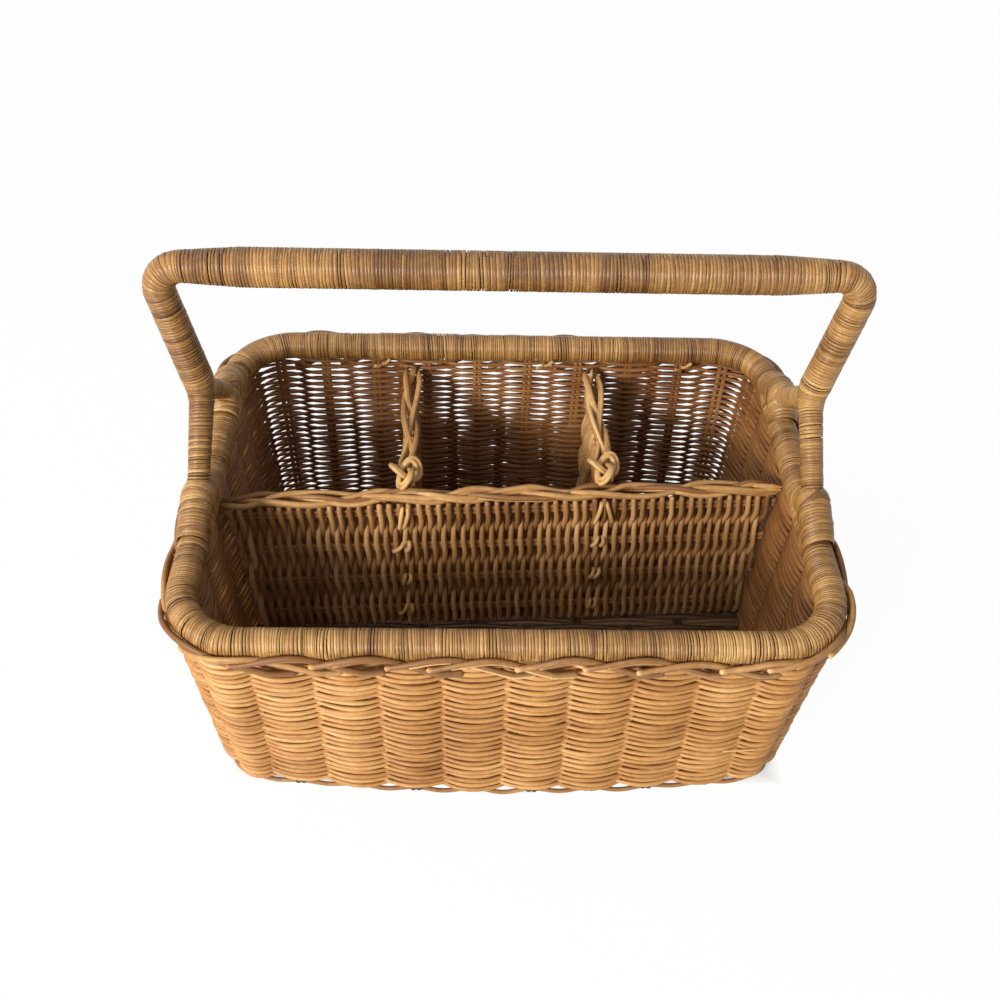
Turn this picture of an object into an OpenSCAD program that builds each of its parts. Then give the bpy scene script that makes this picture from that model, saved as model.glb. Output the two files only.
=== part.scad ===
/* [Basket] */
// Length of the rim, on its centre line
rim_length = 340; // [310:1:400]
// Width of the rim, on its centre line
rim_width = 248; // [220:1:290]
// Height of the rim's centre line above the table
rim_height = 136; // [115:1:165]
// Corner radius of the rim's centre line
corner_radius = 36; // [32:1:44]
// How far the foot stands in from the rim on every side
foot_inset = 8.5; // [4:0.5:11]
// How far the foot of a long wall bows out at its middle
foot_bow = 7.5; // [2:0.5:8]

/* [Rim and foot] */
// Diameter of the cane pole inside the rim
rim_core_diameter = 14.6; // [11:0.2:16]
// Thickness of one layer of binding cane
binding_thickness = 1.1; // [0.8:0.1:1.4]
// Diameter of the rod round the foot
foot_rod_diameter = 4; // [4:0.5:7]

/* [Weave] */
// Diameter of a stake
stake_diameter = 3; // [2.5:0.1:3.2]
// Thickness of a weaver
weaver_thickness = 2.5; // [2:0.1:2.6]
// Height of one row of weaving in the walls
row_pitch = 2.6; // [2.4:0.1:3.6]
// Width of one row of the base, which is woven with pairs of weavers
base_pitch = 5.8; // [5:0.2:8]
// Pairs of stakes on the straight of a long wall
long_wall_stakes = 8; // [7:1:9]
// Pairs of stakes on the straight of a short wall
short_wall_stakes = 5; // [4:1:6]
// Diameter of a rod in the plaited borders
border_diameter = 3; // [2.4:0.1:3.2]

/* [Dividers] */
// Distance of each cross divider from the middle
cross_divider_x = 59; // [48:1:70]
// Turn of the long divider about the upright, in degrees
divider_skew = 3; // [0:0.5:4]
// Height of the dividers' weave below the rim's centre line
divider_drop = 18; // [16:1:26]
// Width of one weaver's place in a divider
divider_pitch = 2.9; // [2.7:0.1:3.6]
// Distance between the level stakes of a divider
divider_stake_pitch = 29; // [24:1:32]

/* [Handle] */
// Height of the handle bar's centre line above the table
handle_height = 266; // [240:1:300]
// Distance from the middle to the point where the bar and an arm would meet
handle_reach = 185; // [178:1:196]
// Distance of the handle behind the middle of the basket
handle_offset = 15; // [0:1:20]
// Height of the forks where the arms part into legs
fork_height = 187; // [182:1:200]
// Distance between the two feet of one arm, along the rim
foot_spread = 90; // [80:1:100]
// Diameter of the pole inside the bar
pole_diameter = 18.4; // [16:0.2:21]
// Diameter of the same pole inside the bends and the arms
arm_diameter = 14.4; // [12:0.2:16]
// Length over which the bar thins towards each bend
bar_taper = 30; // [20:1:60]
// Diameter of the rod inside each leg
leg_diameter = 10.2; // [9:0.2:13]
// Radius of the bend between the bar and an arm
bend_radius = 14; // [13:0.5:20]

/* [Hidden] */
$fn = 48;

// Gaps between pieces that lie against each other, from the loosest to the closest
seat_gap = 0.3;
touch_gap = 0.2;
row_gap = 0.15;
close_gap = 0.1;

// The weave passes each pair of stakes on one side, then on the other
slant_room = 0.6;
wave = (stake_diameter + weaver_thickness) / 2 + slant_room;
wall_half = wave + weaver_thickness / 2;
pair_half = (stake_diameter + close_gap) / 2;
corner_flat = stake_diameter + 2 * touch_gap;

// Heights, from the table up
foot_flat = 0.5;
foot_rod_z = foot_rod_diameter / 2 - foot_flat;
stick_z = foot_rod_z + (foot_rod_diameter + stake_diameter) / 2 + close_gap;
wall_bottom = stick_z + stake_diameter / 2 + touch_gap;
floor_top = stick_z + wall_half;

// Plan of the walls: four straights and four quarter corners
corner_arc = corner_radius * PI / 2;
wall_height = rim_height - foot_rod_z;
lean = foot_inset / wall_height;

// Rim, with the plaited border under it
rim_x = rim_length / 2;
rim_bore = rim_core_diameter + 2 * close_gap;
rim_radius = rim_bore / 2 + binding_thickness;
border_drop = 16;
border_pitch = border_diameter + touch_gap;
border_rise = border_drop - 2 * border_pitch - touch_gap;

// Dividers, which lean out with the walls at their ends
divider_bottom = floor_top + seat_gap;
divider_top = rim_height - divider_drop;
divider_gain = lean * (divider_top - divider_bottom);
first_level = 8;
level_room = divider_top - first_level - divider_bottom - 2 * stake_diameter;
divider_levels = floor(level_room / divider_stake_pitch) + 1;
shortest_weaver = 18;
plait_step = 22;
plait_half = 3.6;
knot_size = 9;
knot_height = 0.9 * knot_size;

// Handle: a bent pole, and four legs that carry it on the rim
pole_bore = pole_diameter + 2 * close_gap;
pole_outside = pole_bore + 2 * binding_thickness;
arm_bore = arm_diameter + 2 * close_gap;
arm_outside = arm_bore + 2 * binding_thickness;
leg_bore = leg_diameter + 2 * close_gap;
leg_outside = leg_bore + 2 * binding_thickness;
arm_splay = atan2(handle_reach - rim_x, handle_height - fork_height);
bend_turn = 90 + arm_splay;
bend_tangent = bend_radius * tan(bend_turn / 2);
bar_half = handle_reach - bend_tangent;
bar_neck = bar_half - bar_taper;
arm_top = norm([handle_reach - rim_x, handle_height - fork_height]) - bend_tangent;
fork_wrap = 0.8;
fork_size = arm_outside + 2 * fork_wrap;
toe_length = 14;
toe_tip = 0.4 * leg_diameter;
toe_z = rim_height + rim_radius + leg_diameter / 2 + touch_gap;
nail_diameter = 1.6;
nail_hole = nail_diameter + close_gap;
bend_steps = 6;
rod_sides = 16;

// Lashings: one tube wound round the rim and a toe of the handle
lashing_diameter = 1.6;
lashing_loops = 4;
lashing_pitch = lashing_diameter + 2 * seat_gap;
lashing_length = lashing_loops * lashing_pitch;
lashing_slack = 1.4;
lashing_room = lashing_diameter + lashing_slack + seat_gap;
lashing_wide = rim_radius + lashing_diameter / 2 + lashing_slack;
lashing_tall = lashing_wide + leg_diameter / 2;
lashing_z = rim_height + leg_diameter / 2;
lashing_rings = 24;
lashing_sides = 6;
lashing_near = 3;

// Colours
cane_gold = "#c2893f";
cane_tan = "#b07a38";
cane_brown = "#8a5a2b";
cane_pale = "#cfa15c";
steel_grey = "#8d8d8d";

// How far the wall's middle surface stands in from the rim's centre line
function inset(z) = lean * (rim_height - z);

// How far a long wall's middle surface bows out at a place along it and a height
function bow(place, z) =
    let (share = 2 * place / wall_run(0))
    foot_bow * max(0, 1 - share * share) * (rim_height - z) / wall_height;

// Facts of wall w: 0 front, 1 right, 2 rear, 3 left
function is_long(w) = w % 2 == 0;
function wall_top(w) = rim_height - rim_radius - (is_long(w) ? seat_gap : lashing_room);
function wall_run(w) = (is_long(w) ? rim_length : rim_width) - 2 * corner_radius;
function wall_reach(w) = (is_long(w) ? rim_width : rim_length) / 2;
function straight_stakes(w) = is_long(w) ? long_wall_stakes : short_wall_stakes;
function first_stake(w) = floor((w + 1) / 2) * (long_wall_stakes + 2)
    + floor(w / 2) * (short_wall_stakes + 2);
function stake_pitch(w) = wall_run(w) / straight_stakes(w);

// Place of stake m along wall w, where the first and last stand in the corners
function corner_step(w) = (stake_pitch(w) + corner_arc) / 3;
function corner_stake(w) = (wall_run(w) - stake_pitch(w)) / 2 + corner_step(w);
function stake_place(w, m) =
    m == 0 ? -corner_stake(w)
    : m == straight_stakes(w) + 1 ? corner_stake(w)
    : (m - (straight_stakes(w) + 1) / 2) * stake_pitch(w);

// Point of wall w as seen with that wall at the front: place along it, distance out, height
function wall_point(w, place, out, z) =
    let (
        half = wall_run(w) / 2,
        radius = corner_radius - inset(z) + out,
        turn = max(0, abs(place) - half) / corner_arc * 90
    )
    [
        sign(place) * (min(abs(place), half) + radius * sin(turn)),
        -(wall_reach(w) - corner_radius + radius * cos(turn) + (is_long(w) ? bow(place, z) : 0)),
        z
    ];

// Distance out of row i of wall w where it passes stake m
function row_out(w, i, m) = wave * alternate(i + m + first_stake(w));

// The same at the end of the wall's straight part, between stake m there and the corner's stake
function straight_out(w, i, m) =
    let (
        last = stake_place(w, straight_stakes(w)),
        share = (wall_run(w) / 2 - last) / (corner_stake(w) - corner_flat - last)
    )
    row_out(w, i, m) * (1 - 2 * share);

// Row i of wall w in three pieces, half corner, straight and half corner, each a list of places
// along the wall and distances out
function row_paths(w, i) =
    let (
        half = wall_run(w) / 2,
        end = half + corner_arc / 2 - row_gap,
        last = straight_stakes(w),
        left = straight_out(w, i, 1),
        right = straight_out(w, i, last)
    )
    [
        concat([[-end, 0]], corner_path(w, i, 0), [[-half - row_gap, left]]),
        concat(
            [[row_gap - half, left]],
            [for (m = [1 : last]) [stake_place(w, m), row_out(w, i, m)]],
            [[half - row_gap, right]]
        ),
        concat([[half + row_gap, right]], corner_path(w, i, last + 1), [[end, 0]])
    ];
function corner_path(w, i, m) =
    [for (flat = [-corner_flat, corner_flat]) [stake_place(w, m) + flat, row_out(w, i, m)]];
function in_corner(w, m) = m == 0 || m == straight_stakes(w) + 1;
function stake_spread(w, m) =
    pair_half * (in_corner(w, m) ? corner_radius / (corner_radius - foot_inset) : 1);
function alternate(n) = n % 2 == 0 ? 1 : -1;
function plan(p) = [p[0], p[1]];
function reversed(list) = [for (i = [len(list) - 1 : -1 : 0]) list[i]];

// A band of given thickness along a list of places and offsets
function band(path, thickness) = concat(
    [for (p = path) [p[0], p[1] + thickness / 2]],
    [for (p = reversed(path)) [p[0], p[1] - thickness / 2]]
);

// Round rod from one point to another
module rod(from, to, diameter) {
    run = to - from;
    translate(from)
        rotate([0, acos(run[2] / norm(run)), atan2(run[1], run[0])])
            cylinder(d = diameter, h = norm(run));
}

// Ring of a tube at point i of its path, square to the path, with side held square to it
function tube_ring(path, i, diameter, sides, side) =
    let (
        ahead = path[min(i + 1, len(path) - 1)] - path[max(i - 1, 0)],
        along = ahead / norm(ahead),
        across = cross(along, side) / norm(cross(along, side)),
        up = cross(across, along)
    )
    [for (k = [0 : sides - 1])
        path[i] + diameter / 2 * (cos(360 * k / sides) * across + sin(360 * k / sides) * up)];

// Tube along a path, with a diameter for each point of it
module tube(path, diameters, sides, side) {
    points = [for (i = [0 : len(path) - 1]) each tube_ring(path, i, diameters[i], sides, side)];
    last = (len(path) - 1) * sides;
    walls = [for (i = [0 : len(path) - 2], k = [0 : sides - 1])
        let (a = i * sides + k, b = i * sides + (k + 1) % sides)
        each [[a, b, b + sides], [a, b + sides, a + sides]]];
    ends = [for (k = [1 : sides - 2])
        each [[0, k + 1, k], [last, last + k, last + k + 1]]];
    polyhedron(points, concat(walls, ends));
}

// Base: sticks from front to rear, with weavers across them
module base_sticks() color(cane_brown) {
    half = rim_width / 2 - inset(stick_z) + wall_half - slant_room;
    for (m = [1 : long_wall_stakes], side = [-1, 1])
        translate([stake_place(0, m) + side * pair_half, 0, stick_z])
            rotate([90, 0, 0])
                cylinder(
                    d = stake_diameter,
                    h = 2 * (half + bow(stake_place(0, m), stick_z)),
                    center = true
                );
}

// Half length of a row of the base whose far edge lies at a distance from the middle
function base_end(edge, half_x, half_y, corner) =
    let (
        over = max(0, min(corner, edge - half_y + corner)),
        past = max(0, edge - half_y) / bow(0, stick_z)
    )
    past > 0 ? wall_run(0) / 2 * sqrt(max(0, 1 - past))
    : half_x - corner + sqrt(corner * corner - over * over);

module base_weavers() color(cane_brown) {
    half_x = rim_x - inset(stick_z) - wall_half - seat_gap;
    half_y = rim_width / 2 - inset(stick_z) - wall_half - seat_gap;
    corner = corner_radius - inset(stick_z) - wall_half - seat_gap;
    rows = floor(2 * (half_y + bow(stake_pitch(0), stick_z)) / base_pitch);
    for (i = [0 : rows - 1]) {
        y = (i - (rows - 1) / 2) * base_pitch;
        end = base_end(abs(y) + base_pitch / 2, half_x, half_y, corner);
        passed = [for (m = [1 : long_wall_stakes]) if (abs(stake_place(0, m)) < end - stake_diameter) m];
        path = concat(
            [[-end, 0]],
            [for (m = passed) [stake_place(0, m), wave * alternate(i + m)]],
            [[end, 0]]
        );
        translate([0, y, stick_z])
            rotate([90, 0, 0])
                linear_extrude(base_pitch - row_gap, center = true)
                    polygon(band(path, weaver_thickness));
    }
}

// Straights and corners of a ring that follows the rim's plan, drawn in by some distance
module ring_straight(w, reach_in, gap)
    translate([0, reach_in - wall_reach(w), 0])
        rotate([0, 90, 0])
            linear_extrude(wall_run(w) - 2 * gap, center = true)
                children();

module ring_corner(w, reach_in)
    translate([wall_run(w) / 2, corner_radius - wall_reach(w), 0])
        rotate(-90)
            rotate_extrude(angle = 90)
                translate([corner_radius - reach_in, 0])
                    children();

module rim_ring(gap)
    translate([0, 0, rim_height])
        for (w = [0 : 3])
            rotate(90 * w) {
                ring_straight(w, 0, gap) children();
                ring_corner(w, 0) children();
            }

// Foot: bowed rods at the front and rear, and straight ones at the sides
bow_radius = (pow(wall_run(0) / 2, 2) + foot_bow * foot_bow) / (2 * foot_bow);
bow_half_angle = asin((wall_run(0) / 2 - seat_gap) / bow_radius);
bow_facets = 20;
bow_steps = ceil(180 * bow_facets / bow_half_angle);

module foot_rods() color(cane_gold)
    intersection() {
        translate([0, 0, foot_rod_z])
            for (w = [0 : 3])
                rotate(90 * w) {
                    if (is_long(w))
                        translate([0, bow_radius - foot_bow - wall_reach(w) + foot_inset, 0])
                            rotate(-90 - bow_half_angle)
                                rotate_extrude(angle = 2 * bow_half_angle, $fn = bow_steps)
                                    translate([bow_radius, 0])
                                        circle(d = foot_rod_diameter, $fn = rod_sides);
                    else
                        ring_straight(w, foot_inset, row_gap) circle(d = foot_rod_diameter);
                    ring_corner(w, foot_inset) circle(d = foot_rod_diameter);
                }
        translate([-rim_length, -rim_length, 0])
            cube([2 * rim_length, 2 * rim_length, foot_rod_diameter]);
    }

// Walls: pairs of stakes, and rows of weavers that pass them in and out by turns
module wall_stakes(w) color(cane_tan)
    rotate(90 * w)
        for (m = [0 : straight_stakes(w) + 1], side = [-1, 1]) {
            place = stake_place(w, m) + side * stake_spread(w, m);
            rod(
                wall_point(w, place, 0, wall_bottom),
                wall_point(w, place, 0, wall_top(w)),
                stake_diameter
            );
        }

module wall_weavers(w) color(cane_gold)
    rotate(90 * w)
        for (i = [0 : floor((wall_top(w) - wall_bottom) / row_pitch) - 1], path = row_paths(w, i)) {
            z = wall_bottom + i * row_pitch;
            half = weaver_thickness / 2;
            outer = [for (p = path) plan(wall_point(w, p[0], p[1] + half, z))];
            inner = [for (p = reversed(path)) plan(wall_point(w, p[0], p[1] - half, z))];
            translate([0, 0, z])
                linear_extrude(row_pitch - row_gap)
                    polygon(concat(outer, inner));
        }

// Border: two layers of slanting rods outside the top of a wall, crossing like a plait
function border_out(layer) = wall_half + touch_gap + border_diameter / 2 + layer * border_pitch;
function border_low(strand) = rim_height - rim_radius - border_drop + strand * border_pitch;

module wall_border(w) color(cane_tan)
    rotate(90 * w) {
        half = wall_run(w) / 2;
        places = concat(
            [-half],
            [for (m = [1 : straight_stakes(w)]) stake_place(w, m)],
            [half]
        );
        for (m = [0 : len(places) - 2], layer = [0, 1], strand = [0, 1]) {
            low = border_low(strand);
            ends = layer == 0 ? [low, low + border_rise] : [low + border_rise, low];
            rod(
                wall_point(w, places[m] + row_gap, border_out(layer), ends[0]),
                wall_point(w, places[m + 1] - row_gap, border_out(layer), ends[1]),
                border_diameter
            );
        }
        for (layer = [0, 1], strand = [0, 1]) {
            z = border_low(strand) + layer * border_rise;
            translate([half, corner_radius - wall_reach(w), z])
                rotate(-90)
                    rotate_extrude(angle = 90)
                        translate([corner_radius - inset(z) + border_out(layer), 0])
                            circle(d = border_diameter);
        }
    }

// Rim: a bent pole under a sleeve of close cane binding
module rim_core() color(cane_brown)
    difference() {
        rim_ring(0) circle(d = rim_core_diameter);
        nails(nail_hole);
    }

module rim_binding() color(cane_gold)
    difference() {
        rim_ring(row_gap)
            difference() {
                circle(r = rim_radius);
                circle(d = rim_bore);
            }
        nails(nail_hole);
    }

// Dividers: level pairs of stakes with upright weavers, and a plait along the top
function divider_level(k) = divider_top - first_level - k * divider_stake_pitch;

// Offset of a weaver at a distance from the stake that it passes
function weave_offset(n, distance) = wave * alternate(n) * (1 - 2 * distance / divider_stake_pitch);

// Height above the floor at which a weaver that stands past a leaning end clears the wall there
function end_rise(past, end_lean) = end_lean > 0 ? max(0, past) / (lean * end_lean) : 0;

// Upright weavers between two ends, either of which may lean out with a wall
module panel_weavers(low, high, low_lean, high_lean) {
    gain = divider_gain - lean * shortest_weaver;
    start = low - low_lean * gain;
    count = floor((high + high_lean * gain - start) / divider_pitch);
    for (i = [0 : count - 1]) {
        place = start + (i + 0.5) * divider_pitch;
        past_high = place + divider_pitch / 2 - high;
        past_low = low - place + divider_pitch / 2;
        foot = divider_bottom + max(end_rise(past_high, high_lean), end_rise(past_low, low_lean));
        passed = [for (k = [divider_levels - 1 : -1 : 0])
            if (divider_level(k) - 2 * stake_diameter > foot) k];
        path = concat(
            [[foot, weave_offset(i + passed[0], divider_level(passed[0]) - foot)]],
            [for (k = passed) [divider_level(k), weave_offset(i + k, 0)]],
            [[divider_top, weave_offset(i, divider_top - divider_level(0))]]
        );
        translate([place, 0, 0])
            rotate([90, 0, 90])
                linear_extrude(divider_pitch - row_gap, center = true)
                    polygon([for (p = band(path, weaver_thickness)) [p[1], p[0]]]);
    }
}

module panel_stakes(low, high, low_lean, high_lean)
    for (k = [0 : divider_levels - 1], side = [-1, 1]) {
        z = divider_level(k) + side * pair_half;
        gain = lean * (z - divider_bottom);
        rod([low - low_lean * gain, 0, z], [high + high_lean * gain, 0, z], stake_diameter);
    }

// Two layers of slanting rods on the top of a panel, crossing like a plait
module panel_plait(low, high, low_lean, high_lean) {
    start = low - low_lean * divider_gain + border_diameter;
    run = high + high_lean * divider_gain - border_diameter - start;
    count = floor((run - plait_step) / (plait_step / 2));
    for (i = [0 : count], layer = [0, 1]) {
        x = start + (run - plait_step) * i / count;
        z = divider_top + touch_gap + border_diameter / 2 + layer * border_pitch;
        y = (layer == 0 ? 1 : -1) * plait_half;
        rod([x, -y, z], [x + plait_step, y, z], border_diameter);
    }
}

// Ends of the long divider and of a cross divider, at the floor
long_end = (rim_x - inset(divider_bottom) - wall_half) / cos(divider_skew) - 2 * seat_gap;
cross_bow = bow(cross_divider_x + wall_half, divider_bottom);
cross_lean = 1 - cross_bow / inset(divider_bottom);
cross_rear = rim_width / 2 - inset(divider_bottom) + cross_bow - wall_half - seat_gap;
function cross_front(side) = side * cross_divider_x * tan(divider_skew)
    + (wall_half + 2 * seat_gap) / cos(divider_skew) + wall_half * tan(divider_skew);

module on_long_divider() rotate(divider_skew) children();
module on_cross_divider(side) translate([side * cross_divider_x, 0, 0]) rotate(90) children();

module long_divider_stakes() color(cane_tan)
    on_long_divider() panel_stakes(-long_end, long_end, 1, 1);

module long_divider_weavers() color(cane_brown)
    on_long_divider() panel_weavers(-long_end, long_end, 1, 1);

module long_divider_plait() color(cane_tan)
    on_long_divider() panel_plait(-long_end, long_end, 1, 1);

module cross_divider_stakes(side) color(cane_tan)
    on_cross_divider(side) panel_stakes(cross_front(side), cross_rear, 0, cross_lean);

module cross_divider_weavers(side) color(cane_brown)
    on_cross_divider(side) panel_weavers(cross_front(side), cross_rear, 0, cross_lean);

module cross_divider_plait(side) color(cane_tan)
    on_cross_divider(side) panel_plait(cross_front(side) + knot_size, cross_rear, 0, cross_lean);

// A knot of cane ends where each cross divider meets the long one
module divider_knots() color(cane_pale)
    for (side = [-1, 1])
        translate([
            side * cross_divider_x,
            cross_front(side) + knot_size / 2,
            divider_top + touch_gap + knot_height / 2
        ])
            intersection() {
                sphere(d = knot_size);
                cube([2 * knot_size, 2 * knot_size, knot_height], center = true);
            }

// Handle: point of the right arm, at a distance above its lower end
function arm_point(along) =
    [rim_x, handle_offset, fork_height] + along * [sin(arm_splay), 0, cos(arm_splay)];

// The right rear corner of the handle, moved to another corner
module at_corner(side, way)
    translate([0, handle_offset, 0])
        mirror([side < 0 ? 1 : 0, 0, 0])
            mirror([0, way < 0 ? 1 : 0, 0])
                children();

// Centre line of the pole's right half, from the lower end of the arm up to the bar
pole_path = concat(
    [arm_point(0)],
    [for (i = [0 : bend_steps])
        let (turn = bend_turn * (1 - i / bend_steps))
        [
            handle_reach - bend_tangent + bend_radius * sin(turn),
            handle_offset,
            handle_height - bend_radius + bend_radius * cos(turn)
        ]],
    [[bar_neck, handle_offset, handle_height]]
);
pole_sizes = concat(even([0 : bend_steps + 1], arm_diameter), [pole_diameter]);
function even(path, diameter) = [for (p = path) diameter];
function mirrored(path) = [for (p = reversed(path)) [-p[0], p[1], p[2]]];

module handle_pole() color(cane_brown)
    tube(
        concat(pole_path, mirrored(pole_path)),
        concat(pole_sizes, reversed(pole_sizes)),
        rod_sides,
        [0, 1, 0]
    );

// Right rear leg, measured from the handle's own plane: fork, foot and tip of the toe
leg_head = [rim_x, leg_diameter / 2, fork_height - leg_diameter / 2];
leg_foot = [rim_x, foot_spread / 2, toe_z];
leg_run = leg_foot - leg_head;
leg_length = norm(leg_run);
leg_drop = atan2(-leg_run[2], leg_run[1]);
foot_radius = leg_diameter;
foot_tangent = foot_radius * tan(leg_drop / 2);
function leg_point(along) = leg_head + along * leg_run / leg_length;

// Centre line of the leg, from inside the fork to the tip of the toe
leg_path = concat(
    [leg_point(-leg_diameter)],
    [for (i = [0 : bend_steps])
        let (turn = leg_drop * (1 - i / bend_steps))
        leg_foot + [0, foot_tangent - foot_radius * sin(turn), foot_radius * (1 - cos(turn))]],
    [leg_foot + [0, toe_length, 0]]
);

// Slanting cut that thins the toe towards its tip
module toe_cut()
    translate([rim_x, foot_spread / 2 + foot_tangent, toe_z + leg_diameter / 2])
        rotate([-atan2(leg_diameter - toe_tip, toe_length - foot_tangent), 0, 0])
            translate([-leg_diameter, 0, 0])
                cube([2 * leg_diameter, 2 * toe_length, 2 * leg_diameter]);

module leg(side, way) color(cane_brown)
    difference() {
        at_corner(side, way)
            difference() {
                tube(leg_path, even(leg_path, leg_diameter), rod_sides, [1, 0, 0]);
                toe_cut();
            }
        translate([0, handle_offset + way * (row_gap - 2 * leg_diameter), 0])
            cube([2 * rim_length, 4 * leg_diameter, 4 * rim_height], center = true);
        mirror([side < 0 ? 1 : 0, 0, 0])
            rod(arm_point(-touch_gap), arm_point(fork_size), fork_size);
        nails(nail_hole);
    }

// Sleeves of close cane binding
sleeve_start = fork_size / 2;
module sleeve(from, to, outside, bore) {
    run = (to - from) / norm(to - from);
    difference() {
        rod(from, to, outside);
        rod(from - run, to + run, bore);
    }
}

module bar_binding() color(cane_gold) {
    half = bar_half - row_gap;
    outer = [[arm_outside / 2, -half], [pole_outside / 2, -bar_neck],
        [pole_outside / 2, bar_neck], [arm_outside / 2, half]];
    inner = [[arm_bore / 2, half], [pole_bore / 2, bar_neck],
        [pole_bore / 2, -bar_neck], [arm_bore / 2, -half]];
    translate([0, handle_offset, handle_height])
        rotate([0, 90, 0])
            rotate_extrude()
                polygon(concat(outer, inner));
}

module bend_binding(side) color(cane_gold)
    mirror([side < 0 ? 1 : 0, 0, 0])
        translate([handle_reach - bend_tangent, handle_offset, handle_height - bend_radius])
            rotate([90, 0, 0]) rotate(90 - bend_turn)
                rotate_extrude(angle = bend_turn)
                    translate([bend_radius, 0])
                        difference() {
                            circle(d = arm_outside);
                            circle(d = arm_bore);
                        }

module arm_binding(side) color(cane_gold)
    mirror([side < 0 ? 1 : 0, 0, 0])
        sleeve(arm_point(sleeve_start), arm_point(arm_top - row_gap), arm_outside, arm_bore);

module leg_binding(side, way) color(cane_gold)
    at_corner(side, way)
        sleeve(
            leg_point(sleeve_start),
            leg_point(leg_length - foot_tangent),
            leg_outside,
            leg_bore
        );

// Crossed binding over a fork, cut away round the pole, the legs and their sleeves
module fork_binding(side) color(cane_tan)
    difference() {
        at_corner(side, 1) translate([rim_x, 0, fork_height]) sphere(d = fork_size);
        mirror([side < 0 ? 1 : 0, 0, 0]) {
            rod(arm_point(-touch_gap), arm_point(fork_size), arm_bore);
            rod(arm_point(sleeve_start - close_gap), arm_point(fork_size), arm_outside + touch_gap);
        }
        for (way = [-1, 1])
            at_corner(side, way) {
                rod(leg_point(-leg_diameter), leg_point(fork_size), leg_bore);
                rod(leg_point(sleeve_start - close_gap), leg_point(fork_size), leg_outside + touch_gap);
            }
    }

// Lashing: turns of cane round the rim and a toe, on an oval that clears them both
function lashing_point(turn) = [
    lashing_wide * cos(360 * turn),
    turn * lashing_pitch,
    lashing_tall * sin(360 * turn)
];
lashing_path = [for (i = [0 : lashing_loops * lashing_rings]) lashing_point(i / lashing_rings)];

// Least gap between neighbouring turns of a lashing
lashing_gap = min([
    for (i = [0 : lashing_rings], step = [-lashing_near : lashing_near])
        norm(lashing_path[i] - lashing_path[i + lashing_rings + step])
]) - lashing_diameter;
echo(lashing_gap = lashing_gap);

module lashing(side, way) color(cane_pale) {
    middle = handle_offset + way * (foot_spread / 2 + toe_length - lashing_length / 2);
    translate([side * rim_x, middle - lashing_length / 2, lashing_z])
        tube(lashing_path, even(lashing_path, lashing_diameter), lashing_sides, [0, 1, 0]);
}

// Brads through the toes into the rim pole
module nails(diameter)
    for (side = [-1, 1], way = [-1, 1])
        at_corner(side, way)
            translate([rim_x, foot_spread / 2 + toe_length / 2, rim_height])
                cylinder(d = diameter, h = toe_z - rim_height + leg_diameter / 4);

module foot_nails() color(steel_grey) nails(nail_diameter);

base_sticks();
base_weavers();
foot_rods();
wall_stakes(0);  // front_stakes
wall_stakes(1);  // right_stakes
wall_stakes(2);  // rear_stakes
wall_stakes(3);  // left_stakes
wall_weavers(0);  // front_weavers
wall_weavers(1);  // right_weavers
wall_weavers(2);  // rear_weavers
wall_weavers(3);  // left_weavers
wall_border(0);  // front_border
wall_border(1);  // right_border
wall_border(2);  // rear_border
wall_border(3);  // left_border
rim_core();
rim_binding();
long_divider_stakes();
long_divider_weavers();
long_divider_plait();
cross_divider_stakes(-1);  // left_divider_stakes
cross_divider_weavers(-1);  // left_divider_weavers
cross_divider_plait(-1);  // left_divider_plait
cross_divider_stakes(1);  // right_divider_stakes
cross_divider_weavers(1);  // right_divider_weavers
cross_divider_plait(1);  // right_divider_plait
divider_knots();
handle_pole();
leg(-1, -1);  // left_front_leg
leg(-1, 1);  // left_rear_leg
leg(1, -1);  // right_front_leg
leg(1, 1);  // right_rear_leg
bar_binding();
bend_binding(-1);  // left_bend_binding
bend_binding(1);  // right_bend_binding
arm_binding(-1);  // left_arm_binding
arm_binding(1);  // right_arm_binding
fork_binding(-1);  // left_fork_binding
fork_binding(1);  // right_fork_binding
leg_binding(-1, -1);  // left_front_leg_binding
leg_binding(-1, 1);  // left_rear_leg_binding
leg_binding(1, -1);  // right_front_leg_binding
leg_binding(1, 1);  // right_rear_leg_binding
lashing(-1, -1);  // left_front_lashing
lashing(-1, 1);  // left_rear_lashing
lashing(1, -1);  // right_front_lashing
lashing(1, 1);  // right_rear_lashing
foot_nails();
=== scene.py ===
"""Wicker cutlery caddy: round strands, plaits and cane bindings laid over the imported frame."""

import math

import bpy
import numpy as np
from mathutils import Matrix, Vector

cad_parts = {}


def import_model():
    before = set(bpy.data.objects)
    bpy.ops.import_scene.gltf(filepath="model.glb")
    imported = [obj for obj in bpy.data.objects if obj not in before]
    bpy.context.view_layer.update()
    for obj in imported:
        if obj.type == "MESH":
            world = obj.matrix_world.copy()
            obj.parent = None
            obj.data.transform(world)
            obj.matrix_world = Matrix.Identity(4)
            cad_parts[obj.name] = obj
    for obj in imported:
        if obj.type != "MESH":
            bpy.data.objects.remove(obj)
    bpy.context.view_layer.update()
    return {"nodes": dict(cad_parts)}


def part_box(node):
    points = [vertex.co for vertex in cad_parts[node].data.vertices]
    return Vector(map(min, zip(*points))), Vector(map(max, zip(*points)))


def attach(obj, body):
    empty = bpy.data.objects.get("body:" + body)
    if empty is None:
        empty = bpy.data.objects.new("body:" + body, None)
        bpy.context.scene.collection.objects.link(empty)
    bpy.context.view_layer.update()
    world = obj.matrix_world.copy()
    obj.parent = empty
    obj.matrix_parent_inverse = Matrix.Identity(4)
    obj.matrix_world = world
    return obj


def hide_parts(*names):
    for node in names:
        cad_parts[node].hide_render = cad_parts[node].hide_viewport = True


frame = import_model()
rng = np.random.default_rng(11)
MM = 0.001


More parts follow.
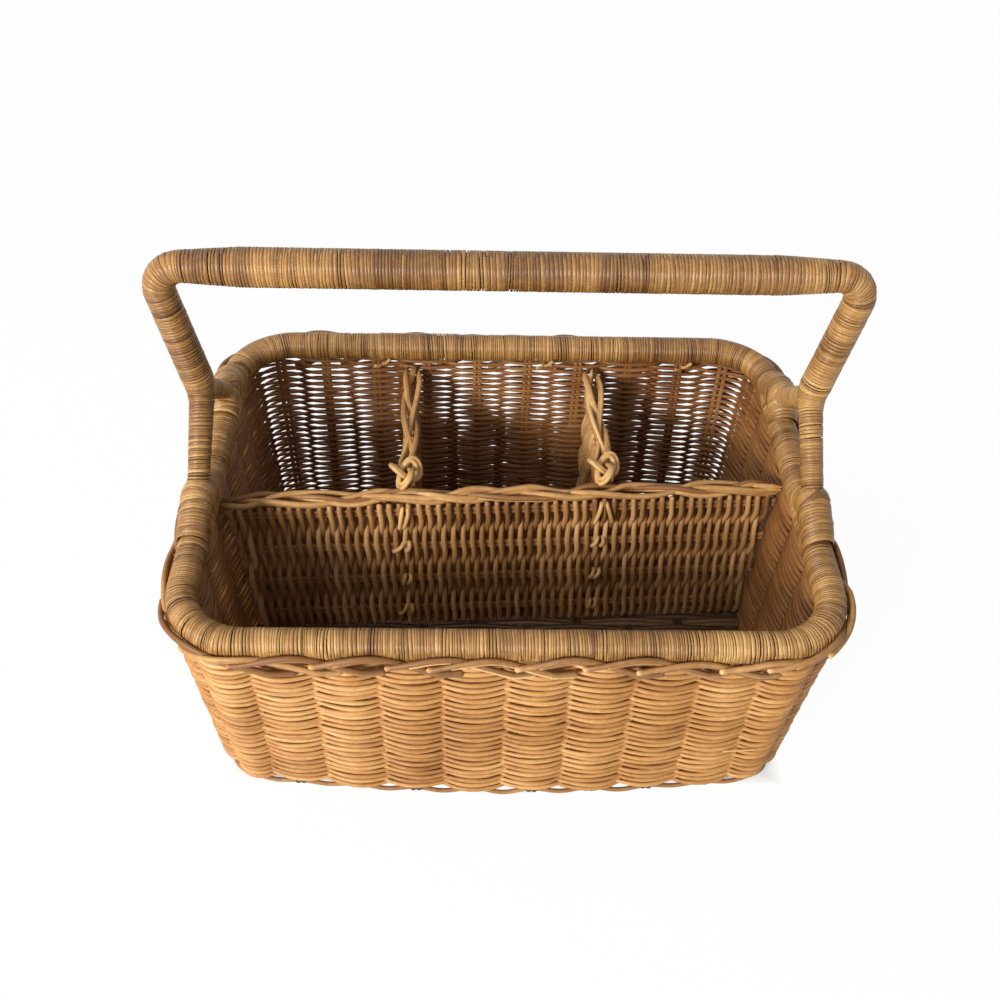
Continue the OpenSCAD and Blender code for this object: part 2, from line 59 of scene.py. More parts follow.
# Sizes taken from the frame
def low(node):
    return np.array(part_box(node)[0])


def high(node):
    return np.array(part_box(node)[1])


def size(node):
    return high(node) - low(node)


def middle(node):
    return (high(node) + low(node)) / 2


CORE_R = size("rim_core")[2] / 2
RIM_X, RIM_Y, RIM_Z = high("rim_core") - [CORE_R, CORE_R, CORE_R]
RIM_R = size("rim_binding")[2] / 2
CORNER_R = 36 * MM
CORNER_ARC = CORNER_R * math.pi / 2
FOOT_FLAT = 0.5 * MM
FOOT_CAD_R = (size("foot_rods")[2] + FOOT_FLAT) / 2
FOOT_INSET = RIM_X + FOOT_CAD_R - high("foot_rods")[0]
FOOT_BOW = FOOT_INSET - RIM_Y - FOOT_CAD_R - low("foot_rods")[1]
WALL_HEIGHT = RIM_Z - FOOT_CAD_R + FOOT_FLAT
LEAN = FOOT_INSET / WALL_HEIGHT
STICK_Z = middle("base_sticks")[2]

# Weave of the walls
LONG_STAKES = 8
SHORT_STAKES = 5
WEAVER_R = 1.5 * MM
ROW_PITCH = 2.3 * MM
WAVE = 3.5 * MM
FOOT_R = 1.35 * MM
FOOT_SLIT = 1.7 * MM
CORNER_FLARE = 4.2 * MM
SKIN = WAVE + WEAVER_R

# Dividers
SKEW = math.radians(3)
DIVIDER_LOW = low("long_divider_weavers")[2]
DIVIDER_TOP = high("long_divider_weavers")[2]
FIRST_LEVEL = 8 * MM
LEVEL_PITCH = 29 * MM
DIVIDER_PITCH = 2.9 * MM
DIVIDER_WAVE = 2.95 * MM
PLAIT_R = 1.3 * MM
CROSS_X = middle("right_divider_weavers")[0]

# Handle
POLE_R = size("handle_pole")[1] / 2
BAR_OUT = size("bar_binding")[1] / 2
ARM_OUT = size("left_bend_binding")[1] / 2
SLEEVE = BAR_OUT - POLE_R
HANDLE_Y = middle("bar_binding")[1]
HANDLE_Z = middle("bar_binding")[2]
BAR_HALF = high("bar_binding")[0]
BAR_TAPER = 30 * MM
BEND_R = 14 * MM
LEG_R = size("left_front_leg")[0] / 2
LEG_OUT = LEG_R + SLEEVE
TOE = 14 * MM
TOE_Z = low("left_front_leg")[2] + LEG_R
FOOT_Y = HANDLE_Y - low("left_front_leg")[1] - TOE
CANE_T = 0.42 * MM


def solve_handle():
    """Corner of the handle, height of the forks and splay of the arms, from the bar's length."""
    reach, fork, splay = BAR_HALF, low("handle_pole")[2], 0.0
    for _ in range(30):
        splay = math.atan2(reach - RIM_X, HANDLE_Z - fork)
        fork = low("handle_pole")[2] + (ARM_OUT - SLEEVE) * math.sin(splay)
        reach = BAR_HALF + BEND_R * math.tan((math.pi / 2 + splay) / 2)
    return reach, fork, splay


REACH, FORK_Z, SPLAY = solve_handle()


# Mesh building. A strand ends in a short cap, and a tapered one thins towards its ends
CAP_LENGTH = 0.5
CAP_RADIUS = 0.3
TAPER_END = 0.35
GRAIN_SPAN = 5.0
STRIP_HEIGHT = 0.9
STRIP_RUN = 0.98


def unit(v):
    return v / np.maximum(np.linalg.norm(v, axis=-1, keepdims=True), 1e-12)


def smooth_noise(x, seed, length):
    """Smooth random values of about unit size along x, with bumps about as long as length."""
    dice = np.random.default_rng(seed)
    total = np.zeros_like(x)
    for octave in range(3):
        turn = 2 * math.pi * x / length * (0.6 + 0.7 * octave) + dice.uniform(0, 2 * math.pi)
        total += np.sin(turn + 1.3 * np.sin(0.37 * turn + dice.uniform(0, 6))) / (1 + octave)
    return total / 1.2


def arc_length(path):
    return np.concatenate([[0], np.cumsum(np.linalg.norm(np.diff(path, axis=0), axis=1))])


def along(values, run, at):
    return np.stack([np.interp(at, run, values[:, i]) for i in range(3)], axis=-1)


class Strands:
    """Swept strands that become one mesh with grain, shade, inside and a bake map."""

    def __init__(self):
        self.points, self.quads, self.uvs = [], [], []
        self.grain, self.shade, self.inside = [], [], []
        self.count = 0
        self.strips = 0

    def add(self, rings, run, ring_grain, shade, inside, strip_length):
        """Joins rings of shape (n, m, 3) into a sleeve, with bake strips of strip_length rings."""
        n, m = rings.shape[:2]
        index = self.count + np.arange(n * m).reshape(n, m)
        after = np.roll(index, -1, axis=1)
        quads = np.stack([index[:-1], after[:-1], after[1:], index[1:]], axis=-1)
        self.quads.append(quads.reshape(-1, 4))
        offset = rng.uniform(0, GRAIN_SPAN, 3)
        grain = np.concatenate([np.broadcast_to(run[:, None, None], (n, m, 1)), ring_grain], axis=-1)
        self.grain.append((grain + offset).reshape(-1, 3))
        self.points.append(rings.reshape(-1, 3))
        self.shade.append(np.broadcast_to(np.reshape(shade, (-1, 1)), (n, m)).ravel())
        self.inside.append(np.broadcast_to(inside, (n, m)).ravel())
        segment = np.arange(n - 1)
        strip = self.strips + segment // strip_length
        share = (segment % strip_length) / strip_length
        side = np.arange(m) / m
        u0 = np.broadcast_to(share[:, None], (n - 1, m))
        v0 = strip[:, None] + side[None, :] * STRIP_HEIGHT
        u1 = u0 + STRIP_RUN / strip_length
        v1 = v0 + STRIP_HEIGHT / m
        corners = [[u0, v0], [u0, v1], [u1, v1], [u1, v0]]
        self.uvs.append(np.stack([np.stack(c, -1) for c in corners], axis=2).reshape(-1, 4, 2))
        self.count += n * m
        self.strips = int(strip[-1]) + 1

    def tube(self, path, radius, shade=0.5, sides=8, up=(0, 0, 1), out=None, taper=0.0):
        """A round strand along a path. Out gives the way that faces outside, for the painted shade on
        the inner side.
        """
        path = np.asarray(path, float)
        ahead = unit(np.gradient(path, axis=0))
        radius = np.broadcast_to(np.asarray(radius, float), (len(path),)).copy()
        shade = np.broadcast_to(np.asarray(shade, float), (len(path),))
        if taper:
            run = arc_length(path)
            edge = np.minimum(run, run[-1] - run) / taper
            radius *= np.clip(TAPER_END + (1 - TAPER_END) * edge, TAPER_END, 1)
        first = path[0] - ahead[0] * radius[0] * CAP_LENGTH
        last = path[-1] + ahead[-1] * radius[-1] * CAP_LENGTH
        path = np.concatenate([[first], path, [last]])
        ahead = np.concatenate([ahead[:1], ahead, ahead[-1:]])
        radius = np.concatenate([[radius[0] * CAP_RADIUS], radius, [radius[-1] * CAP_RADIUS]])
        shade = np.concatenate([shade[:1], shade, shade[-1:]])
        across = unit(np.cross(np.broadcast_to(np.asarray(up, float), path.shape), ahead))
        rise = np.cross(ahead, across)
        angle = 2 * math.pi * np.arange(sides) / sides
        ring = np.stack([np.cos(angle), np.sin(angle)], -1)
        normal = across[:, None] * ring[None, :, :1] + rise[:, None] * ring[None, :, 1:]
        rings = path[:, None] + normal * radius[:, None, None]
        ring_grain = np.broadcast_to(ring * radius.mean(), (len(path), sides, 2))
        inside = 0.0
        if out is not None:
            facing = np.concatenate([out[:1], out, out[-1:]])
            inside = 0.5 - 0.5 * np.einsum("nki,ni->nk", normal, facing)
        self.add(rings, arc_length(path), ring_grain, shade, inside, len(path))

    def build(self, name, material, slot, *nodes):
        """One object from all the strands, riding on the frame in place of the named nodes."""
        points = np.concatenate(self.points)
        quads = np.concatenate(self.quads)
        mesh = bpy.data.meshes.new(name)
        mesh.vertices.add(len(points))
        mesh.vertices.foreach_set("co", points.astype(np.float32).ravel())
        mesh.loops.add(quads.size)
        mesh.loops.foreach_set("vertex_index", quads.astype(np.int32).ravel())
        mesh.polygons.add(len(quads))
        mesh.polygons.foreach_set("loop_start", np.arange(0, quads.size, 4, dtype=np.int32))
        mesh.update(calc_edges=True)
        mesh.polygons.foreach_set("use_smooth", np.ones(len(quads), dtype=bool))
        mesh.attributes.new("grain", "FLOAT_VECTOR", "POINT").data.foreach_set(
            "vector", np.concatenate(self.grain).astype(np.float32).ravel())
        mesh.attributes.new("shade", "FLOAT", "POINT").data.foreach_set(
            "value", np.concatenate(self.shade).astype(np.float32))
        mesh.attributes.new("inside", "FLOAT", "POINT").data.foreach_set(
            "value", np.concatenate(self.inside).astype(np.float32))
        uvs = np.concatenate(self.uvs)
        uvs[..., 1] /= self.strips
        mesh.uv_layers.new(name="OFBake").data.foreach_set("uv", uvs.astype(np.float32).ravel())
        mesh.materials.append(material)
        piece = bpy.data.objects.new(name, mesh)
        bpy.context.scene.collection.objects.link(piece)
        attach(piece, "root")
        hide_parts(*nodes)


# Cane binding: one crowned strip wound round a path
CROWN = np.array([[-0.5, 0.0], [0.5, 0.0], [0.45, 0.66], [0.0, 1.0], [-0.45, 0.66]])
TURN_LIFT = 0.05 * MM
TURN_SHADE = 0.11
TURN_GRAIN = 0.0137
TURN_COVER = 1.02
COVER_SPREAD = 0.03
NARROW = 0.62
SHARE_RANGE = (0.5, 1.6)


def wind(strands, path, outward, radius, pitch, seed, steps=18, closed=False, gap_every=7,
         tilt=0.4 * MM, strip=None, tone=(0.0,), spread=0.28):
    """Winds a strip of cane round a path, in turns of uneven width.

    Radius takes the place along the path and the turn's angle. About one turn in gap_every is narrow.
    Tone darkens the winding by values spaced evenly from its start to its end.
    """
    dice = np.random.default_rng(seed)
    run = arc_length(path)
    turns = int(run[-1] / pitch)
    pitch = run[-1] / turns
    ahead = unit(np.gradient(path, axis=0))
    second = np.cross(ahead, outward)
    step = np.arange(turns * steps + 1)
    turn = step / steps
    angle = 2 * math.pi * turn
    ids = np.minimum(step // steps, turns - 1)
    lift = TURN_LIFT * dice.normal(0, 1, turns)
    cover = (strip or pitch) / pitch * (TURN_COVER + COVER_SPREAD * dice.normal(0, 1, turns))
    cover[dice.random(turns) < 1 / gap_every] *= NARROW
    shares = np.clip(dice.normal(1, spread, turns), *SHARE_RANGE)
    starts = run[-1] * np.concatenate([[0], np.cumsum(shares)]) / np.sum(shares)
    count = np.arange(turns) / turns
    shade = 0.5 + TURN_SHADE * dice.normal(0, 1, turns)
    shade = shade + TURN_SHADE * smooth_noise(count, seed + 1, 19 / turns)
    shade = shade - np.interp(count, np.linspace(0, 1, len(tone)), tone)
    lean = tilt * smooth_noise(turn, seed + 2, 11.0) * np.sin(angle + seed)
    rings, grains = [], []
    for across, crown in CROWN:
        edge = turn + across * cover[ids]
        edge = np.mod(edge, turns) if closed else edge
        at = np.interp(edge, np.arange(turns + 1), starts) + lean
        at = np.mod(at, run[-1]) if closed else np.clip(at, 0, run[-1])
        first, second_at = along(outward, run, at), along(second, run, at)
        reach = radius(at, angle) - CANE_T + lift[ids] + crown * CANE_T
        ray = first * np.cos(angle)[:, None] + second_at * np.sin(angle)[:, None]
        rings.append(along(path, run, at) + ray * reach[:, None])
        grains.append(np.stack([across * cover[ids] * pitch, ids * TURN_GRAIN], axis=-1))
    strip_run = angle * radius(np.interp(turn, np.arange(turns + 1), starts), angle)
    strands.add(np.stack(rings, 1), strip_run, np.stack(grains, 1), shade[ids], 0.0, steps)


# Materials
FIBRE_BUMP = 0.25
FIBRE_DEPTH = 0.4 * MM
PATCH_SCALE = 14.0
MOTTLE_SCALE = 260.0
FIBRE_WEIGHT = 0.55
PATCH_WEIGHT = 0.55
MOTTLE_WEIGHT = 0.25
SHADE_WEIGHT = 0.60
GRAIN_MIDDLE = 0.475
PLAIN_MIDDLE = 0.175
TONE_STOPS = (0.24, 0.52, 0.78)
# Range of the inside attribute over which the painted shade on the inner side comes in
INNER_SHADE_EDGES = (0.35, 0.75)


def srgb(*channels):
    linear = [((c / 255 + 0.055) / 1.055) ** 2.4 if c > 10 else c / 255 / 12.92 for c in channels]
    return (*linear, 1.0)


class Graph:
    """The nodes of a material or of the world, with short ways to make and join them."""

    def __init__(self, owner):
        owner.use_nodes = True
        self.nodes = owner.node_tree.nodes
        self.links = owner.node_tree.links

    def feed(self, socket, value):
        """Sets an input to a value, or joins it to another node's output."""
        if isinstance(value, bpy.types.NodeSocket):
            self.links.new(value, socket)
        else:
            socket.default_value = value

    def node(self, kind, **inputs):
        made = self.nodes.new(kind)
        for key, value in inputs.items():
            self.feed(made.inputs[key.replace("_", " ")], value)
        return made

    def maths(self, operation, *values):
        made = self.nodes.new("ShaderNodeMath")
        made.operation = operation
        for socket, value in zip(made.inputs, values):
            self.feed(socket, value)
        return made.outputs[0]

    def attribute(self, name, output):
        made = self.nodes.new("ShaderNodeAttribute")
        made.attribute_name = name
        return made.outputs[output]

    def noise(self, place, scale, detail, roughness):
        made = self.node("ShaderNodeTexNoise", Vector=place, Scale=scale, Detail=detail,
                         Roughness=roughness)
        return made.outputs["Fac"]

    def remap(self, value, start, stop, kind="LINEAR"):
        """A value mapped from the range start to the range stop."""
        made = self.node("ShaderNodeMapRange", Value=value, From_Min=start[0], From_Max=start[1],
                         To_Min=stop[0], To_Max=stop[1])
        made.interpolation_type = kind
        return made.outputs[0]


def cane_material(name, dark, mid, light, inner_shade=None, roughness=(0.42, 0.62),
                  stretch=(30, 2600, 2600), coords="grain"):
    """Rattan: long fibres along each strand, a shade for each strand, and patches of age.

    The inner colour paints shade on the side that faces into the basket, and makes it a little browner.
    The frame's own pieces use object coordinates.
    """
    material = bpy.data.materials.new(name)
    graph = Graph(material)
    place = graph.node("ShaderNodeTexCoord").outputs["Object"]
    base = graph.attribute("grain", "Vector") if coords == "grain" else place
    mapping = graph.node("ShaderNodeMapping", Vector=base, Scale=stretch)
    fibre = graph.noise(mapping.outputs[0], 1.0, 3.0, 0.6)
    patch = graph.noise(place, PATCH_SCALE, 3.0, 0.55)
    mottle = graph.noise(place, MOTTLE_SCALE, 2.0, 0.6)
    tone = graph.maths("MULTIPLY", fibre, FIBRE_WEIGHT)
    tone = graph.maths("ADD", tone, graph.maths("MULTIPLY", patch, PATCH_WEIGHT))
    tone = graph.maths("ADD", tone, graph.maths("MULTIPLY", mottle, MOTTLE_WEIGHT))
    if coords == "grain":
        shade = graph.maths("MULTIPLY", graph.attribute("shade", "Fac"), SHADE_WEIGHT)
        tone = graph.maths("SUBTRACT", graph.maths("ADD", tone, shade), GRAIN_MIDDLE)
    else:
        tone = graph.maths("SUBTRACT", tone, PLAIN_MIDDLE)
    ramp = graph.node("ShaderNodeValToRGB", Fac=tone)
    stops = ramp.color_ramp.elements
    stops[0].position, stops[1].position = TONE_STOPS[0], TONE_STOPS[2]
    stops[0].color, stops[1].color = dark, light
    stops.new(TONE_STOPS[1]).color = mid
    colour = ramp.outputs["Color"]
    # Painted shade: the side of a strand that faces into the basket is multiplied by the inner colour
    if inner_shade:
        mix = graph.node("ShaderNodeMix")
        mix.data_type = "RGBA"
        mix.blend_type = "MULTIPLY"
        facing = graph.remap(graph.attribute("inside", "Fac"), INNER_SHADE_EDGES, (0, 1), "SMOOTHSTEP")
        graph.feed(mix.inputs["Factor"], facing)
        graph.feed(mix.inputs["A"], colour)
        graph.feed(mix.inputs["B"], inner_shade)
        colour = mix.outputs["Result"]
    relief = graph.node("ShaderNodeBump", Strength=FIBRE_BUMP, Distance=FIBRE_DEPTH, Height=fibre)
    shader = graph.nodes["Principled BSDF"]
    graph.feed(shader.inputs["Base Color"], colour)
    graph.feed(shader.inputs["Roughness"], graph.remap(fibre, (0, 1), roughness))
    graph.feed(shader.inputs["Normal"], relief.outputs[0])
    return material


# The wall's inner colour is painted shade on the side facing into the basket, slightly browner too
WALL = cane_material("wall_cane", srgb(138, 85, 36), srgb(188, 135, 74), srgb(222, 178, 114),
                     inner_shade=srgb(186, 168, 150))
# A darker copy of the wall cane for the dividers: painted shade for the inside of the basket
SHADED_INNER = cane_material("inner_cane", srgb(112, 74, 36), srgb(168, 122, 72), srgb(206, 162, 108))
# The base weave is coloured far darker than the other cane: painted shade, so that it merges with the
# shadow on the floor of the basket
SHADED_BASE = cane_material("base_cane", srgb(66, 43, 21), srgb(98, 69, 40), srgb(130, 97, 62))
PLAIT = cane_material("plait_cane", srgb(128, 83, 40), srgb(186, 139, 82), srgb(222, 183, 122))
BINDING = cane_material("binding_cane", srgb(103, 66, 29), srgb(164, 120, 66), srgb(209, 167, 103),
                        roughness=(0.30, 0.52), stretch=(24, 3400, 900))
# Very dark cane for the cores and the base sticks: painted shade where they show through gaps in the
# bindings and between the base rows
SHADED_POLE = cane_material("cane_pole", srgb(52, 31, 15), srgb(82, 52, 27), srgb(108, 72, 40),
                     stretch=(60, 60, 60), coords="object")
STAKE = cane_material("stake_cane", srgb(104, 66, 32), srgb(160, 112, 64), srgb(196, 152, 98),
                      stretch=(900, 900, 40), coords="object")


def brad_material():
    material = bpy.data.materials.new("brad_steel")
    graph = Graph(material)
    noise = graph.node("ShaderNodeTexNoise", Scale=900.0).outputs["Fac"]
    ramp = graph.node("ShaderNodeValToRGB", Fac=noise)
    ramp.color_ramp.elements[0].color = srgb(88, 84, 80)
    ramp.color_ramp.elements[1].color = srgb(170, 168, 164)
    shader = graph.nodes["Principled BSDF"]
    graph.feed(shader.inputs["Metallic"], 1.0)
    graph.feed(shader.inputs["Base Color"], ramp.outputs["Color"])
    graph.feed(shader.inputs["Roughness"], noise)
    return material


# Walls, numbered in the order of their names
WALL_NAMES = ("front", "right", "rear", "left")
FRONT = WALL_NAMES.index("front")
REAR = WALL_NAMES.index("rear")
WEAVE_POWER = 0.8


def inset(z):
    return LEAN * (RIM_Z - z)


def foot_bow(place, run):
    """How far a long wall's foot bows out at a place along it."""
    return FOOT_BOW * np.maximum(0, 1 - (2 * place / run) ** 2)


class Wall:
    """One side of the basket, from the middle of one corner to the middle of the next."""

    def __init__(self, number):
        long_side = number % 2 == 0
        self.number = number
        self.stakes = LONG_STAKES if long_side else SHORT_STAKES
        self.run = 2 * ((RIM_X if long_side else RIM_Y) - CORNER_R)
        self.reach = RIM_Y if long_side else RIM_X
        self.end = (self.run + CORNER_ARC) / 2
        self.pitch = self.run / self.stakes
        corner = (self.run - self.pitch) / 2 + (self.pitch + CORNER_ARC) / 3
        straight = (np.arange(self.stakes) - (self.stakes - 1) / 2) * self.pitch
        self.places = np.concatenate([[-corner], straight, [corner]])
        self.first = (number + 1) // 2 * (LONG_STAKES + 2) + number // 2 * (SHORT_STAKES + 2)

    def turned(self, x, y, z):
        for _ in range(self.number):
            x, y = -y, x
        return np.stack(np.broadcast_arrays(x, y, z), axis=-1)

    def point(self, place, out, z):
        """Points at places along the wall, distances out of its middle surface and heights."""
        radius = CORNER_R - inset(z) + out
        turn = np.maximum(0, np.abs(place) - self.run / 2) / CORNER_R
        x = np.sign(place) * (np.minimum(np.abs(place), self.run / 2) + radius * np.sin(turn))
        y = self.reach - CORNER_R + radius * np.cos(turn)
        if self.number % 2 == 0:
            y = y + foot_bow(place, self.run) * (RIM_Z - z) / WALL_HEIGHT
        return self.turned(x, -y, z)

    def outward(self, place):
        turn = np.maximum(0, np.abs(place) - self.run / 2) / CORNER_R
        return self.turned(np.sign(place) * np.sin(turn), -np.cos(turn), 0.0)

    def weave(self, place, row):
        """Offset of a row, which passes each stake on the other side than the last."""
        knots = np.concatenate([[-2 * self.end - self.places[0]], self.places,
                                [2 * self.end - self.places[-1]]])
        at = np.clip(np.searchsorted(knots, place, side="right") - 1, 0, len(knots) - 2)
        wave = np.cos(math.pi * (place - knots[at]) / (knots[at + 1] - knots[at]))
        sign = np.where((row + self.first + at - 1) % 2 == 0, 1, -1)
        return sign * np.sign(wave) * np.abs(wave) ** WEAVE_POWER


WALLS = [Wall(number) for number in range(4)]
RING = 2 * sum(wall.end for wall in WALLS)
STARTS = np.concatenate([[0], np.cumsum([2 * wall.end for wall in WALLS])])


def ring_place(wall, place):
    return STARTS[wall.number] + wall.end + place


def ring_noise(at, seed, waves):
    """Smooth values round the basket that meet where the ring closes."""
    dice = np.random.default_rng(seed)
    total = 0
    for count in waves:
        total = total + np.sin(2 * math.pi * count * at / RING + dice.uniform(0, 2 * math.pi))
    return total / len(waves)


# Rows of the walls. Thickness is a share of a row's own radius
ROW_LOW = 2 * FOOT_R + FOOT_SLIT + WEAVER_R
ROW_TOP = RIM_Z - RIM_R + 0.5 * WEAVER_R
ROWS = int((ROW_TOP - ROW_LOW) / ROW_PITCH) + 1
FRONT_ROWS = ROWS - 3
ROW_SHADES = rng.normal(0.5, 0.10, ROWS)
ROW_RADII = 0.6 * ROW_PITCH * rng.uniform(0.93, 1.05, ROWS)
ROW_STEPS = 12
ROW_SAG = 1.2 * MM
ROW_UNEVEN = 0.36 * MM
ROW_WANDER = 1.4 * MM
ROW_SWELL = 0.12
ROW_BULGE = 0.06
ROW_TONES = 0.10
LONG_THICK = 0.9
SHORT_THICK = 1.0
CREST_THICK = 0.24
CORNER_EASE = 12 * MM

# The rear wall has narrow slits, which close low in the middle and in strips beside the dividers
REAR_WAVE = 2.6 * MM
REAR_THIN = 0.77
REAR_FULL = 1.2
REAR_UNEVEN = 0.07
REAR_CLOSE = 0.55
REAR_RAGGED = 6
DENSE_WIDTH = 18 * MM
DENSE_SHARE = 0.8

# A pale split near the right end of the front wall
SPLIT_ENDS = (0.92, 1.06)
SPLIT_Z = 0.31 * RIM_Z
SPLIT_R = 0.3 * WEAVER_R
SPLIT_SHADE = 1.6


def corner_bulge(wall, place):
    over = np.maximum(0, np.abs(place) - wall.run / 2 + CORNER_EASE)
    return np.minimum(1, over / (CORNER_ARC / 2)) ** 2


def rear_thickness(place, at, row):
    """Thickness of a rear row: full where the wall is closed, thin where it has slits.

    On the left the closed strip starts at the divider. On the right it lies a little way past it.
    """
    edge = REAR_CLOSE * ROWS + REAR_RAGGED * ring_noise(at, 41, (19, 33, 52)) - row
    past = np.abs(place) - CROSS_X
    low_middle = np.clip(edge / REAR_RAGGED + 0.5, 0, 1)
    beside = np.where(place > 0, 2 - past / DENSE_WIDTH, 1.5 - np.abs(past / DENSE_WIDTH - 1.6))
    closed = np.where(past < 0, low_middle, DENSE_SHARE * np.clip(beside, 0, 1))
    uneven = REAR_UNEVEN * ring_noise(at, 42, (14, 23, 37))
    return REAR_THIN + (REAR_FULL - REAR_THIN) * closed + uneven


def wall_weave(wall):
    strands = Strands()
    place = np.linspace(-wall.end, wall.end, ROW_STEPS * (wall.stakes + 2) + 1)
    at = ring_place(wall, place)
    corner = corner_bulge(wall, place)
    for row in range(FRONT_ROWS if wall.number == FRONT else ROWS):
        sag = ROW_SAG * ring_noise(at, 7, (3, 5, 8, 14)) * math.sin(math.pi * row / ROWS)
        uneven = ROW_UNEVEN * ring_noise(at, 100 + row, (9, 17, 31))
        z = ROW_LOW + row * ROW_PITCH + sag + uneven
        wander = ROW_WANDER * ring_noise(at, 900 + row, (7, 15, 26))
        weave = wall.weave(place + wander, row)
        if wall.number == REAR:
            wave = REAR_WAVE + (WAVE - REAR_WAVE) * corner
            thick = rear_thickness(place, at, row)
        else:
            wave = WAVE
            thick = (SHORT_THICK if wall.number % 2 else LONG_THICK) + CREST_THICK * weave ** 2
        swell = wave * (1 + ROW_SWELL * ring_noise(at, 300 + row, (12, 23)))
        path = wall.point(place, CORNER_FLARE * corner * z / RIM_Z + swell * weave, z)
        shade = ROW_SHADES[row] + ROW_TONES * ring_noise(at, 500 + row, (5, 13, 29))
        bulge = 1 + ROW_BULGE * ring_noise(at, 700 + row, (11, 19, 37))
        strands.tube(path, thick * ROW_RADII[row] * bulge, shade, out=wall.outward(place))
    if wall.number == FRONT:
        place = np.linspace(*SPLIT_ENDS, 12) * wall.run / 2
        strands.tube(wall.point(place, SKIN, SPLIT_Z + 0 * place), SPLIT_R, SPLIT_SHADE)
    name = WALL_NAMES[wall.number]
    strands.build(f"{name}_weave", WALL, "wall_cane", f"{name}_weavers")


def ring_point(at, out, z):
    """Points anywhere round the basket, where at runs on from wall to wall."""
    at = np.mod(at, RING)
    points = np.zeros((len(at), 3))
    for wall in WALLS:
        mine = (at >= STARTS[wall.number]) & (at <= STARTS[wall.number + 1])
        place = at[mine] - STARTS[wall.number] - wall.end
        points[mine] = wall.point(place, out[mine], z[mine])
    return points


# Border of plaited stake ends, outside the top of the wall
BORDER_R = 1.6 * MM
BORDER_IN = SKIN + BORDER_R
BORDER_OUT = RIM_R + BORDER_R + 0.6 * MM
BORDER_TOP = RIM_Z + 1.2 * MM
BORDER_LOW = BORDER_TOP - 20 * MM
FRONT_LIFT = 1.2 * MM
BORDER_SHIFT = 4 * MM
BORDER_UNEVEN = 0.7 * MM
BORDER_WOBBLE = 0.35 * MM
BORDER_STEPS = 52
BORDER_ROUNDING = 5
TIP_LENGTH = 0.08
TIP_X = (-79 * MM, 27 * MM, 118 * MM)

# Course of a border rod from its cut tip, in stake pitches: height from low 0 to top 1, and way out
BORDER_PLACES = (0.0, 0.4, 0.8, 1.1, 1.5, 1.9, 2.25)
BORDER_HEIGHTS = (0.62, 0.86, 1.0, 0.92, 0.55, 0.22, 0.02)
BORDER_OUTS = (2.4 * MM, 1.8 * MM, 0.4 * MM, -0.4 * MM, -0.2 * MM, 0.5 * MM, -2.4 * MM)


def curve(start, control, stop, count):
    """A bend from start to stop that leans towards the control point."""
    t = np.linspace(0, 1, count)[:, None]
    return (1 - t) ** 2 * start + 2 * t * (1 - t) * control + t ** 2 * stop


def loose_tips(strands):
    """Stake tips that stand out between the rear rim and the wall, on the inside."""
    for x in TIP_X:
        for lean in (-1, 1):
            root = np.array([x, RIM_Y - 0.5 * RIM_R, RIM_Z - 1.1 * RIM_R])
            bend = root + [0, -0.5 * RIM_R, -0.1 * RIM_R]
            tip = root + [0.6 * lean * RIM_R, -0.8 * RIM_R, (0.8 if lean > 0 else 0.2) * RIM_R]
            strands.tube(curve(root, bend, tip, 8), 0.7 * BORDER_R, rng.normal(0.6, 0.1))


def wall_border(wall):
    """Stake ends laid over to one side, in pairs.

    From its cut tip each rod runs up beside the rim, then slants down and back inside.
    """
    strands = Strands()
    window = 2 * BORDER_ROUNDING + 1
    for stake in wall.places:
        start = ring_place(wall, stake) - 0.5 * wall.pitch + rng.normal(0, BORDER_SHIFT)
        lift = rng.normal(FRONT_LIFT if wall.number == FRONT else 0, BORDER_UNEVEN)
        for rod in (0, 1):
            t = np.linspace(0.35 * rod, BORDER_PLACES[-1], BORDER_STEPS)
            wobble = smooth_noise(t, int(rng.integers(1 << 30)), 1.6)
            height = np.interp(t, BORDER_PLACES, BORDER_HEIGHTS)
            height = np.pad(height, BORDER_ROUNDING, mode="edge")
            height = np.convolve(height, np.ones(window) / window, "valid")
            z = BORDER_LOW + (BORDER_TOP - BORDER_LOW) * height + lift - 1.5 * BORDER_R * rod
            z = z + BORDER_WOBBLE * wobble
            out = BORDER_IN + (BORDER_OUT - BORDER_IN) * height
            out = out + np.interp(t, BORDER_PLACES, BORDER_OUTS) - 0.5 * BORDER_R * rod
            path = ring_point(start + wall.pitch * t, out, z)
            tip = np.clip(1 - (t - t[0]) / TIP_LENGTH, 0, 1)
            shade = rng.normal(0.16, 0.18) + 0.55 * tip
            strands.tube(path, BORDER_R * rng.uniform(0.9, 1.08), shade)
    if wall.number == REAR:
        loose_tips(strands)
    name = WALL_NAMES[wall.number]
    strands.build(f"{name}_border_plait", PLAIT, "plait_cane", f"{name}_border")


for one_wall in WALLS:
    wall_weave(one_wall)
    wall_border(one_wall)


# Foot and base
FOOT_OUT = 2.0 * MM
FOOT_TUCK = 0.8 * MM
FOOT_WANDER = 0.5 * MM
FOOT_STEPS = 24
BASE_SEAT = 0.4 * SKIN
BASE_WAVE = 0.4 * DIVIDER_WAVE
BASE_R = 1.3 * WEAVER_R


def foot_ring():
    """A thin rod that rises to the wall at every stake and lies on the table between them."""
    strands = Strands()
    points = []
    for wall in WALLS:
        place = np.linspace(-wall.end, wall.end, FOOT_STEPS * (wall.stakes + 2))
        near = np.min(np.abs(place[:, None] - wall.places[None, :]), axis=1) / (wall.pitch / 2)
        rise = 0.5 + 0.5 * np.cos(math.pi * np.minimum(near, 1))
        wander = FOOT_WANDER * ring_noise(ring_place(wall, place), 43, (17, 29))
        out = FOOT_OUT - FOOT_TUCK * rise + wander
        points.append(wall.point(place, out, FOOT_R + FOOT_SLIT * rise)[:-1])
    path = np.concatenate(points + [points[0][:1]])
    strands.tube(path, FOOT_R, 0.3)
    strands.build("foot_ring", PLAIT, "plait_cane", "foot_rods")


